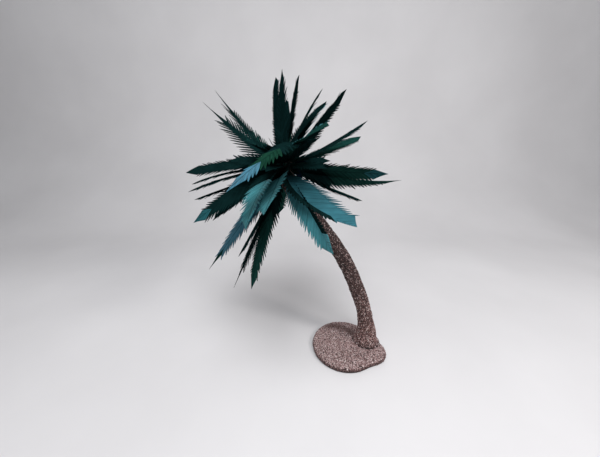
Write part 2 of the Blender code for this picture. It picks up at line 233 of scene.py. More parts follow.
# The tint of each frond, up to shares of its length; the rest are plain all along. Besides the sheet's
# own colours these are painted light and shade: dark roots for shade in the crown, lighter teal and blue
# lengths for lit faces and painted highlights.
FROND_TINTS_AND_PAINTED_LIGHT = {
    "08": ((1.0, "moss"),), "10": ((1.0, "moss"),), "12": ((0.25, "dark"), (1.0, "moss")),
    "11": ((0.30, "dark"), (0.78, "moss"), (1.0, "deep")), "16": ((0.30, "dark"), (1.0, "moss")),
    "14": ((1.0, "sea"),), "15": ((1.0, "bright"),),
    "19": ((0.25, "dark"), (0.78, "blue"), (1.0, "moss")),
    "20": ((0.30, "dark"), (1.0, "teal")), "21": ((0.28, "dark"), (1.0, "teal")),
    "22": ((0.84, "dark"), (1.0, "deep")),
    "25": ((0.53, "dark"), (0.73, "leaf"), (1.0, "blue")), "28": ((0.40, "moss"), (1.0, "dark")),
    "32": ((0.30, "dark"), (1.0, "moss")), "34": ((0.25, "dark"), (0.80, "moss"), (1.0, "teal")),
    "37": ((0.30, "dark"), (1.0, "moss")), "38": ((0.25, "dark"), (1.0, "teal")),
}
# Satin: threads and strips to a metre along and across, and how the back of the sheet differs.
SATIN_THREADS = (60.0, 2600.0, 1.0)
SATIN_STRIPS = (5.0, 310.0, 1.0)
SHEEN_TINT = (0.60, 0.85, 0.95, 1.0)
FACE_ROUGHNESS = 0.48
BACK_ROUGHNESS = 0.55
BACK_SHADE = 0.72
BACK_SHEEN = 0.4
# How far apart two fronds lie on the dyed sheet.
FROND_SHIFT = 0.31

# The half that a frond turns away from the light: painted shade, in the plain dark tint up to the neck.
PAINTED_SHADE_HALF = {"14": -1, "15": 1}
# Halves that are broader or folded smaller: the leaflets' reach at the root and at the neck,
# and the arrowhead's reach.
HALF_REACH = {
    ("14", 1): (1.30, 1.06, 1.05), ("14", -1): (0.52, 0.68, 0.44),
    ("15", 1): (0.15, 0.80, 0.80), ("15", -1): (1.00, 0.86, 0.66),
    ("25", -1): (0.60, 0.70, 0.85),
}
FULL_REACH = (1.0, 1.0, 1.0)
BROAD = ("14", "15")
# Fronds whose leaflets end in pale tips as painted highlights, fronds parted almost to the rib, and
# frayed ends.
FRINGED = ("06", "08")
FRINGE_HIGHLIGHT = "bright"
COMBED = ("17", "27", "28")
FRAYED = ("17", "19", "27", "28", "40", "41", "42", "43", "44", "45", "46", "47", "48")

# Loose strips that fill the heart of the crown, mostly dark as painted shade of the heart.
HEART_STRIPS = 300
STRIP_HALF_WIDTH = 0.0019
HEART_REACH = 0.034
# Each ring of a strip: its share of the length, and of the width there.
STRIP_RINGS = ((0.0, 0.35), (0.35, 1.0), (0.72, 0.85), (1.0, 0.06))

# Grains: name, darkest, lightest, roughness, and the power to which the painted shade up the trunk is
# taken.
GRAIN_TONES = (
    ("dark", (0.055, 0.028, 0.027), (0.130, 0.074, 0.070), 0.80, 1.50),
    ("brown", (0.160, 0.092, 0.087), (0.285, 0.182, 0.173), 0.75, 1.30),
    ("rose", (0.300, 0.193, 0.187), (0.440, 0.310, 0.300), 0.72, 0.90),
    ("beige", (0.450, 0.340, 0.325), (0.590, 0.470, 0.455), 0.70, 0.65),
    ("pale", (0.600, 0.515, 0.498), (0.740, 0.665, 0.645), 0.65, 0.45),
)
# The coats: shares of the tones, and the lowest grain of each tone on the plate. Lighter tones start at
# the plate's top, so its side shows only dark and brown grains as painted shade.
PLATE_SHARES = (0.20, 0.26, 0.26, 0.18, 0.10)
PLATE_LOWEST = (0.0012, 0.0046, 0.0082, 0.0082, 0.0082)
TRUNK_SHARES = (0.49, 0.26, 0.11, 0.08, 0.06)
GRAIN_SHAPES = 5
GRAIN_KNOCK = 0.17
# Painted light and shade up the trunk: a little lighter just above the plate, then darker towards the
# crown as its painted shade. Each stop is a share of the way and a tint.
LIGHT_AND_SHADE_STOPS = (
    (0.0, (1.0, 0.96, 0.96)), (0.025, (1.25, 1.17, 1.15)), (0.12, (0.92, 0.79, 0.75)),
    (0.5, (0.40, 0.31, 0.29)), (1.0, (0.26, 0.19, 0.18)),
)

# Painted shadow of the trunk: a darker band on the plate behind the trunk's foot. It fades in
# between two places: off its middle line, and along Y, X and Z.
BAND_CENTRE = (-0.020, 0.000, 0.0)
BAND_RADIUS = 0.048
SHADOW_BAND_TINT = (0.50, 0.44, 0.42)
BAND_FADES = ((0.012, 0.001), (0.001, 0.012), (-0.050, -0.020), (0.020, 0.014))

# Floor with a cove up to a wall behind, and lamps.
FLOOR_COLOURS = ((0.67, 0.655, 0.66), (0.70, 0.685, 0.69), (0.73, 0.715, 0.72))
FLOOR_HALF_WIDTH = 4.0
COVE_START = 0.55
COVE_RADIUS = 0.6
COVE_STEPS = 16
# Name, place, aim, size, power and colour of each lamp.
LAMPS = (
    ("key", (-0.05, -0.62, 1.45), (-0.08, 0.0, 0.25), 0.8, 18.0, (0.97, 0.98, 1.0)),
    ("side", (1.15, -0.85, 1.15), (-0.04, 0.0, 0.15), 0.4, 11.0, (1.0, 0.98, 0.97)),
    ("fill", (-1.3, -1.2, 0.9), (-0.08, 0.0, 0.25), 1.6, 2.5, (0.94, 0.97, 1.0)),
)


def fill_inputs(tree, node, values):
    """Sets inputs of a node: an output is joined to its input, anything else is a value."""
    for key, value in values.items():
        if isinstance(value, bpy.types.NodeSocket):
            tree.links.new(value, node.inputs[key])
        else:
            node.inputs[key].default_value = value


def add_node(tree, kind, values=None, **settings):
    """The outputs of a new node with its settings and inputs."""
    node = tree.nodes.new(kind)
    for key, value in settings.items():
        setattr(node, key, value)
    fill_inputs(tree, node, values or {})
    return node.outputs


def new_material(name, colour, roughness):
    """A material of a plain colour, with its nodes and their shader."""
    mat = bpy.data.materials.new(name)
    mat.use_nodes = True
    shader = mat.node_tree.nodes["Principled BSDF"]
    shader.inputs["Base Color"].default_value = (*colour, 1.0)
    shader.inputs["Roughness"].default_value = roughness
    mat.diffuse_color = (*colour, 1.0)
    return mat, mat.node_tree, shader


def ramp(tree, source, stops):
    """A colour band read at a texture's value; each stop is a place and a colour."""
    band = tree.nodes.new("ShaderNodeValToRGB")
    while len(band.color_ramp.elements) < len(stops):
        band.color_ramp.elements.new(0.5)
    for element, (place, colour) in zip(band.color_ramp.elements, stops):
        element.position = place
        element.color = (*colour, 1.0)
    tree.links.new(source, band.inputs["Fac"])
    return band.outputs["Color"]


def clouds(tree, vector, scale, detail):
    return add_node(tree, "ShaderNodeTexNoise", {
        "Vector": vector, "Scale": scale, "Detail": detail})["Fac"]


def bump(tree, height, strength, distance):
    return add_node(tree, "ShaderNodeBump", {
        "Height": height, "Strength": strength, "Distance": distance})["Normal"]


def work_out(tree, operation, *values):
    """A number worked out from others."""
    return add_node(tree, "ShaderNodeMath", dict(enumerate(values)), operation=operation)["Value"]


def multiply(tree, first, second):
    """Two vectors or colours multiplied part by part."""
    return add_node(tree, "ShaderNodeVectorMath", {0: first, 1: second},
                    operation="MULTIPLY")["Vector"]


def shade(colour, factor):
    return tuple(part * factor for part in colour)


def satin_sheet(name, colour, roughness, sheen):
    """Dyed satin sheet: threads run out along each leaflet, with a faint mottle in the dye."""
    mat, tree, shader = new_material(name, colour, roughness)
    shader.inputs["Specular IOR Level"].default_value = 0.08 if sheen > 0.0 else 0.0
    shader.inputs["Sheen Weight"].default_value = sheen
    shader.inputs["Sheen Roughness"].default_value = 0.35
    shader.inputs["Sheen Tint"].default_value = SHEEN_TINT
    place = add_node(tree, "ShaderNodeTexCoord")
    threads = add_node(tree, "ShaderNodeMapping", {"Vector": place["UV"], "Scale": SATIN_THREADS})
    weave = clouds(tree, threads["Vector"], 1.0, 3.0)
    mottle = clouds(tree, place["Object"], 45.0, 4.0)
    dye = ramp(tree, mottle, (
        (0.30, shade(colour, 0.78)), (0.50, colour), (0.72, shade(colour, 1.28))))
    strips = add_node(tree, "ShaderNodeMapping", {"Vector": place["UV"], "Scale": SATIN_STRIPS})
    tone = clouds(tree, strips["Vector"], 1.0, 1.0)
    streak = ramp(tree, work_out(tree, "MULTIPLY_ADD", weave, 0.35, tone), (
        (0.52, (0.62, 0.62, 0.62)), (0.70, (0.95, 0.95, 0.95)), (0.86, (1.25, 1.25, 1.25))))
    mix = add_node(tree, "ShaderNodeMix", {"Factor": 1.0, "A": dye, "B": streak},
                   data_type="RGBA", blend_type="MULTIPLY")
    gloss = add_node(tree, "ShaderNodeMapRange", {
        "Value": weave, "To Min": roughness - 0.06, "To Max": roughness + 0.10})
    fill_inputs(tree, shader, {
        "Base Color": mix["Result"], "Roughness": gloss["Result"],
        "Normal": bump(tree, weave, 0.25, 0.00008)})
    return mat


def painted_shadow_band(tree, spot, parts):
    """Painted shadow of the trunk: a darker band on the plate that curves back and to the left from the
    trunk's foot.
    """
    flat = multiply(tree, spot, (1.0, 1.0, 0.0))
    away = add_node(tree, "ShaderNodeVectorMath", {0: flat, 1: BAND_CENTRE}, operation="DISTANCE")
    beside = work_out(tree, "SUBTRACT", away["Value"], BAND_RADIUS)
    off = work_out(tree, "ABSOLUTE", beside)
    strength = None
    for source, (start, end) in zip((off, parts["Y"], parts["X"], parts["Z"]), BAND_FADES):
        fade = add_node(tree, "ShaderNodeMapRange", {
            "Value": source, "From Min": start, "From Max": end},
            interpolation_type="SMOOTHSTEP")["Result"]
        strength = fade if strength is None else work_out(tree, "MULTIPLY", strength, fade)
    return ramp(tree, strength, ((0.0, (1.0, 1.0, 1.0)), (1.0, SHADOW_BAND_TINT)))


def grain(name, dark, light, roughness, shade_power):
    """Crushed shell grains: each takes its own tone between two, with a rough break.

    They are a little lighter just above the plate and darker the higher they lie, as painted light and
    shade of the crown, and shade_power is the power that a tone takes it to. A painted shadow band
    darkens the plate behind the trunk's foot.
    """
    mat, tree, shader = new_material(name, dark, roughness)
    spot = add_node(tree, "ShaderNodeTexCoord")["Object"]
    parts = add_node(tree, "ShaderNodeSeparateXYZ", {"Vector": spot})
    middle = tuple((a + b) / 2 for a, b in zip(dark, light))
    tone = clouds(tree, spot, 420.0, 2.0)
    colour = ramp(tree, tone, ((0.34, dark), (0.5, middle), (0.66, light)))
    # Painted shade of the crown: the grains darken the higher they lie.
    shade_height = add_node(tree, "ShaderNodeMapRange", {
        "Value": parts["Z"], "From Min": 0.012, "From Max": 0.300})
    tint = ramp(tree, shade_height["Result"], [
        (place, tuple(part ** shade_power for part in stop)) for place, stop in LIGHT_AND_SHADE_STOPS])
    shaded = multiply(tree, colour, tint)
    breaks = clouds(tree, spot, 2200.0, 4.0)
    # The painted shade up the trunk and the painted shadow band on the plate darken the grains' colour.
    fill_inputs(tree, shader, {
        "Base Color": multiply(tree, shaded, painted_shadow_band(tree, spot, parts)),
        "Normal": bump(tree, breaks, 0.5, 0.00015)})
    return mat


def pale_floor():
    low, middle, high = FLOOR_COLOURS
    mat, tree, shader = new_material("pale_floor", middle, 0.75)
    cloud = clouds(tree, add_node(tree, "ShaderNodeTexCoord")["Object"], 2.2, 5.0)
    fill_inputs(tree, shader, {"Base Color": ramp(tree, cloud, ((0.35, low), (0.65, high)))})
    return mat


def add_piece(name, verts, faces, mats, smooth=True, marks=None, uvs=None):
    """A mesh object; marks gives each face its material, uvs each vertex its place on the sheet."""
    mesh = bpy.data.meshes.new(name)
    mesh.from_pydata([tuple(v) for v in verts], [], faces)
    for mat in mats:
        mesh.materials.append(mat)
    for number, face in enumerate(mesh.polygons):
        face.use_smooth = smooth
        if marks is not None:
            face.material_index = marks[number]
    if uvs is not None:
        layer = mesh.uv_layers.new(name="sheet")
        for loop in mesh.loops:
            layer.data[loop.index].uv = uvs[loop.vertex_index]
    mesh.update()
    item = bpy.data.objects.new(name, mesh)
    bpy.context.scene.collection.objects.link(item)
    return item


def loft(rings):
    """Closed body through rings of equal count, with flat ends."""
    count = len(rings[0])
    verts = [point for ring in rings for point in ring]
    faces = []
    for row in range(len(rings) - 1):
        a = row * count
        for col in range(count):
            nxt = (col + 1) % count
            faces.append((a + col, a + nxt, a + count + nxt, a + count + col))
    faces.append(tuple(range(count - 1, -1, -1)))
    last = (len(rings) - 1) * count
    faces.append(tuple(range(last, last + count)))
    return verts, faces


def outward(item):
    """Turns every face of a closed mesh outwards."""
    work = bmesh.new()
    work.from_mesh(item.data)
    bmesh.ops.recalc_face_normals(work, faces=work.faces[:])
    work.to_mesh(item.data)
    work.free()


def blend(near, far, reach):
    """Smooth least of two distances."""
    share = max(reach - abs(near - far), 0.0) / reach
    return min(near, far) - share * share * reach * 0.25


def plate_distance(x, y):
    """How far a point lies outside the plate's outline."""
    disc = math.hypot(x, y) - DISC_RADIUS
    lobe = math.hypot(x - LOBE_CENTRE[0], y - LOBE_CENTRE[1]) - LOBE_RADIUS
    return blend(disc, lobe, LOBE_BLEND)


def plate_reach(angle, inset):
    """How far the plate reaches from its centre at an angle, up to an inset from its outline."""
    low = 0.0
    high = 0.15
    for _ in range(30):
        mid = (low + high) / 2
        x = PLATE_CENTRE[0] + mid * math.cos(angle)
        y = PLATE_CENTRE[1] + mid * math.sin(angle)
        if plate_distance(x, y) < -inset:
            low = mid
        else:
            high = mid
    return low


def lump(point, size, amount, start):
    """How far a bed bulges at a point."""
    return noise.noise(point / size + Vector((start, 0.0, 0.0))) * amount


def plate_coat():
    """The plate's glued bed, a little inside its outline, so that the grains reach it."""
    edge, top = PLATE_EDGE[-1]
    profile = list(PLATE_EDGE)
    profile += [(edge + TOP_RING_STEP * step, top) for step in range(1, TOP_RINGS + 1)]
    rings = []
    for inset, height in profile:
        lumpy = min(1.0, max(0.0, height - 0.001) / 0.004)
        ring = []
        for step in range(PLATE_SIDES):
            angle = 2 * math.pi * step / PLATE_SIDES
            reach = plate_reach(angle, min(inset, OUTLINE_INSET))
            if inset > OUTLINE_INSET:
                reach *= max(0.04, 1.0 - (inset - OUTLINE_INSET) / TOP_REACH)
            out = Vector((math.cos(angle), math.sin(angle), 0.0))
            point = Vector((PLATE_CENTRE[0] + reach * math.cos(angle),
                            PLATE_CENTRE[1] + reach * math.sin(angle), height))
            if inset < 0.003:
                point += out * lump(point, *EDGE_LUMPS) * lumpy
            if inset > 0.002:
                point.z += lump(point, *TOP_LUMPS) * lumpy
            ring.append(point)
        rings.append(ring)
    return loft(rings)


def trunk_line():
    """Centres and leans of the trunk's rings, up to the foot of the head."""
    points = [Vector((FOOT[0], FOOT[1], PLATE_HEIGHT + GAP))]
    leans = [0.0]
    spans = len(TRUNK_LEANS) - 1
    for step in range(TRUNK_STEPS):
        place = (step + 0.5) / TRUNK_STEPS * spans
        low = min(int(place), spans - 1)
        lean = TRUNK_LEANS[low] + (TRUNK_LEANS[low + 1] - TRUNK_LEANS[low]) * (place - low)
        angle = math.radians(lean)
        move = TRUNK_LENGTH / TRUNK_STEPS
        away = (HEAD.y - FOOT[1]) / TRUNK_STEPS
        points.append(points[-1] + Vector((-math.sin(angle) * move, away, math.cos(angle) * move)))
        leans.append(angle)
    return points, leans


def trunk_frame(points, leans, share):
    """Centre and lean at a share of the trunk, on a smooth curve through its points."""
    place = share * TRUNK_STEPS
    low = min(int(place), TRUNK_STEPS - 1)
    part = place - low
    before = points[max(low - 1, 0)]
    after = points[min(low + 2, TRUNK_STEPS)]
    a, b = points[low], points[low + 1]
    centre = (a * 2 + (b - before) * part + (before * 2 - a * 5 + b * 4 - after) * part ** 2
              + (a * 3 - b * 3 + after - before) * part ** 3) / 2
    return centre, leans[low] + (leans[low + 1] - leans[low]) * part


def trunk_radius(share):
    """The bare trunk's radius: a taper, the flare of the foot, a swell and a rounded head."""
    from_top = (1.0 - share) * TRUNK_LENGTH
    radius = LOW_RADIUS + (HIGH_RADIUS - LOW_RADIUS) * share
    radius += (FOOT_RADIUS - LOW_RADIUS) * math.exp(-share * TRUNK_LENGTH / FLARE_LENGTH)
    radius += SWELL * math.exp(-((from_top - SWELL_FROM_TOP) / SWELL_LENGTH) ** 2)
    if from_top < HEAD_HALF_HEIGHT:
        rise = 1.0 - from_top / HEAD_HALF_HEIGHT
        radius *= math.sqrt(max(1.0 - rise * rise, HEAD_TOP_SHARE))
    return radius


def foot_spread(angle):
    """How much further the coat of the foot reaches to the right, and how much less in front."""
    right = max(0.0, math.cos(angle + 0.30)) ** 2
    front = max(0.0, -math.sin(angle + 0.25)) ** 1.5
    return SPREAD_RIGHT * right - DRAWN_IN_FRONT * front


def buttress(angle, height):
    """The swelling of the trunk above its foot, mostly to the right."""
    right = max(0.0, math.cos(angle + 0.10)) ** 2
    left = max(0.0, -math.cos(angle)) ** 2
    swell = math.exp(-((height - BUTTRESS_MIDDLE) / BUTTRESS_HEIGHT) ** 2)
    return (BUTTRESS_RIGHT * right + BUTTRESS_LEFT * left) * swell


def coat_radius(radius, angle, height, centre, out):
    """The bed's radius, from the radius without its lumps and the forms of its foot."""
    spot = centre + out * radius
    radius += sum(lump(spot, *lumps) for lumps in TRUNK_LUMPS)
    radius += foot_spread(angle) * math.exp(-height / SPREAD_HEIGHT) + buttress(angle, height)
    behind = max(0.0, math.sin(angle + 0.8))
    return radius + TOE_REACH * behind * math.exp(-height / TOE_HEIGHT)


def trunk_rings(count, sides, coated):
    """Rings up the trunk, bare or as the bed of its coat."""
    points, leans = trunk_line()
    rings = []
    for row in range(count + 1):
        share = row / count
        centre, lean = trunk_frame(points, leans, share)
        side = Vector((math.cos(lean), 0.0, math.sin(lean)))
        ring = []
        for step in range(sides):
            angle = 2 * math.pi * step / sides
            out = side * math.cos(angle) + Vector((0.0, math.sin(angle), 0.0))
            radius = trunk_radius(share)
            if coated:
                height = share * TRUNK_LENGTH
                radius = coat_radius(radius - BED_DEPTH, angle, height, centre, out)
            ring.append(centre + out * radius)
        rings.append(ring)
    return rings


def seam_rings():
    """Bare glue that has run out in drops from under the front of the trunk's foot; its near-black
    colour is painted shade of the crevice there.
    """
    rings = []
    for step in range(SEAM_STEPS + 1):
        angle = math.radians(SEAM_START + SEAM_SWEEP * step / SEAM_STEPS)
        out = Vector((math.cos(angle), math.sin(angle), 0.0))
        reach = FOOT_RADIUS + foot_spread(angle) + SEAM_BEYOND_FOOT
        middle = Vector((FOOT[0], FOOT[1], PLATE_HEIGHT + 0.0008)) + out * reach
        radius = max(0.0003, SEAM_RADIUS + lump(middle, *SEAM_LUMPS))
        radius *= math.sqrt(max(0.05, 1.0 - (2.0 * step / SEAM_STEPS - 1.0) ** 4))
        ring = []
        for corner in range(SEAM_CORNERS):
            turn = 2 * math.pi / SEAM_CORNERS * corner
            rise = Vector((0.0, 0.0, math.sin(turn) * radius))
            ring.append(middle + out * (math.cos(turn) * radius) + rise)
        rings.append(ring)
    return rings


def random_vector(tree, low, high, seed):
    """A vector between two, drawn for each point."""
    return add_node(tree, "FunctionNodeRandomValue", {0: low, 1: high, "Seed": seed},
                    data_type="FLOAT_VECTOR")[0]


def grain_tree(name):
    """Scatters small broken grains over a bed and joins them into one mesh."""
    tree = bpy.data.node_groups.new(name, "GeometryNodeTree")
    face = tree.interface
    face.new_socket("Bed", in_out="INPUT", socket_type="NodeSocketGeometry")
    for label, value in (("Grains per square metre", 100000.0), ("Least distance", 0.001),
                         ("Grain size", 0.002), ("Size spread", 0.3), ("Lowest height", 0.0),
                         ("Highest height", 1.0)):
        socket = face.new_socket(label, in_out="INPUT", socket_type="NodeSocketFloat")
        socket.default_value = value
    face.new_socket("Seed", in_out="INPUT", socket_type="NodeSocketInt")
    face.new_socket("Finish", in_out="INPUT", socket_type="NodeSocketMaterial")
    face.new_socket("Grains", in_out="OUTPUT", socket_type="NodeSocketGeometry")
    given = add_node(tree, "NodeGroupInput")
    seed = given["Seed"]

    # Points on the bed between the lowest and the highest height.
    spot = add_node(tree, "GeometryNodeInputPosition")
    height = add_node(tree, "ShaderNodeSeparateXYZ", {0: spot[0]})["Z"]
    above = add_node(tree, "FunctionNodeCompare", {0: height, 1: given["Lowest height"]},
                     data_type="FLOAT", operation="GREATER_THAN")
    under = add_node(tree, "FunctionNodeCompare", {0: height, 1: given["Highest height"]},
                     data_type="FLOAT", operation="LESS_THAN")
    within = add_node(tree, "FunctionNodeBooleanMath", {0: above[0], 1: under[0]},
                      operation="AND")
    scatter = add_node(tree, "GeometryNodeDistributePointsOnFaces", {
        "Mesh": given["Bed"], "Selection": within[0], "Distance Min": given["Least distance"],
        "Density Max": given["Grains per square metre"], "Seed": seed},
        distribute_method="POISSON")

    # A few knocked balls, one of which stands for each grain.
    shapes = tree.nodes.new("GeometryNodeJoinGeometry")
    for number in range(GRAIN_SHAPES):
        ball = add_node(tree, "GeometryNodeMeshIcoSphere", {"Radius": 0.5, "Subdivisions": 1})
        knock = random_vector(tree, (-GRAIN_KNOCK,) * 3, (GRAIN_KNOCK,) * 3, number + 11)
        move = add_node(tree, "GeometryNodeSetPosition", {
            "Geometry": ball["Mesh"], "Offset": knock})
        single = add_node(tree, "GeometryNodeGeometryToInstance", {0: move[0]})
        tree.links.new(single[0], shapes.inputs[0])

    # Each grain's turn and size.
    spin = random_vector(tree, (-0.7, -0.7, 0.0), (0.7, 0.7, 6.283), seed)
    turn = add_node(tree, "FunctionNodeEulerToRotation", {0: spin})
    aim = add_node(tree, "FunctionNodeRotateRotation", {0: scatter["Rotation"], 1: turn[0]},
                   rotation_space="LOCAL")
    stretch = random_vector(tree, (0.80, 0.65, 0.50), (1.35, 1.05, 0.90), seed)
    least = work_out(tree, "SUBTRACT", 1.0, given["Size spread"])
    most = work_out(tree, "ADD", 1.0, given["Size spread"])
    vary = add_node(tree, "FunctionNodeRandomValue", {2: least, 3: most, "Seed": seed},
                    data_type="FLOAT")
    size = work_out(tree, "MULTIPLY", vary[1], given["Grain size"])
    scale = add_node(tree, "ShaderNodeVectorMath", {0: stretch, "Scale": size},
                     operation="SCALE")

    place = add_node(tree, "GeometryNodeInstanceOnPoints", {
        "Points": scatter["Points"], "Instance": shapes.outputs[0], "Pick Instance": True,
        "Rotation": aim[0], "Scale": scale[0]})
    real = add_node(tree, "GeometryNodeRealizeInstances", {0: place[0]})
    flat = add_node(tree, "GeometryNodeSetShadeSmooth", {
        "Geometry": real[0], "Shade Smooth": False})
    paint = add_node(tree, "GeometryNodeSetMaterial", {
        "Geometry": flat[0], "Material": given["Finish"]})
    add_node(tree, "NodeGroupOutput", {"Grains": paint[0]})
    return tree


def scatter_grains(name, bed, tree, mat, sizes):
    """Runs the grain tree on a bed and keeps the result as a plain mesh."""
    holder = bpy.data.objects.new(name + "_holder", bed.data)
    bpy.context.scene.collection.objects.link(holder)
    modifier = holder.modifiers.new("grains", "NODES")
    modifier.node_group = tree
    keys = {item.name: item.identifier for item in tree.interface.items_tree
            if item.item_type == "SOCKET" and item.in_out == "INPUT"}
    for label, value in sizes.items():
        modifier[keys[label]] = value
    modifier[keys["Finish"]] = mat
    depsgraph = bpy.context.evaluated_depsgraph_get()
    mesh = bpy.data.meshes.new_from_object(holder.evaluated_get(depsgraph), depsgraph=depsgraph)
    holder.modifiers.clear()
    bpy.data.objects.remove(holder, do_unlink=True)
    mesh.name = name
    if not mesh.materials:
        mesh.materials.append(mat)
    item = bpy.data.objects.new(name, mesh)
    bpy.context.scene.collection.objects.link(item)
    return item


def root_distance(ahead, side, over, bark_tree):
    """How far from the head's middle a stem starts, so that its end is clear of the trunk."""
    furthest = 0.0
    for across in (-1, 0, 1):
        for along in (-1, 0, 1):
            shift = side * (across * (RIB_HALF_WIDTH + GAP))
            shift += over * (along * (RIB_HALF_THICKNESS + GAP))
            hit = bark_tree.ray_cast(HEAD + shift + ahead * RAY_START, -ahead)
            if hit[0] is not None:
                furthest = max(furthest, RAY_START - hit[3])
    return furthest + GAP


def frond_line(row, bark_tree):
    """Rib points with their forward, side and upper directions."""
    azimuth, elevation, turn, droop, length, roll, ease, twist = (
        row[i] for i in (1, 2, 3, 4, 5, 6, 9, 11))
    frames = []
    for step in range(LINE_STEPS + 1):
        gain = (step / LINE_STEPS) ** ease
        az = math.radians(azimuth + turn * gain)
        el = math.radians(elevation + droop * gain)
        ahead = Vector((math.cos(el) * math.cos(az), math.cos(el) * math.sin(az), math.sin(el)))
        level = Vector((-math.sin(az), math.cos(az), 0.0))
        over = ahead.cross(level)
        tilt = math.radians(roll + twist * (step / LINE_STEPS) ** 2)
        side = level * math.cos(tilt) + over * math.sin(tilt)
        frames.append((ahead, side, ahead.cross(side)))
    points = [HEAD + frames[0][0] * root_distance(*frames[0], bark_tree)]
    for step in range(LINE_STEPS):
        mean = (frames[step][0] + frames[step + 1][0]).normalized()
        points.append(points[-1] + mean * (length * 0.001 / LINE_STEPS))
    return points, frames


def frame_at(line, share):
    """Point and directions at a share of a frond's line."""
    points, frames = line
    place = min(max(share, 0.0), 1.0) * (len(points) - 1)
    low = min(int(place), len(points) - 2)
    part = place - low
    point = points[low].lerp(points[low + 1], part)
    ahead = frames[low][0].lerp(frames[low + 1][0], part).normalized()
    side = frames[low][1].lerp(frames[low + 1][1], part).normalized()
    return point, ahead, side, ahead.cross(side).normalized()


def leaflet_reach(share):
    """How wide the leaflets reach at a share of the leafy part, from 0 to 1."""
    grown = min(1.0, 0.75 + 2.5 * share)
    return grown * (1.0 - 0.38 * share ** 1.6)


def dye_mark(dye):
    """The number of a dye's face material; the next one is the back's."""
    return list(SHEET_TINTS).index(dye) * 2


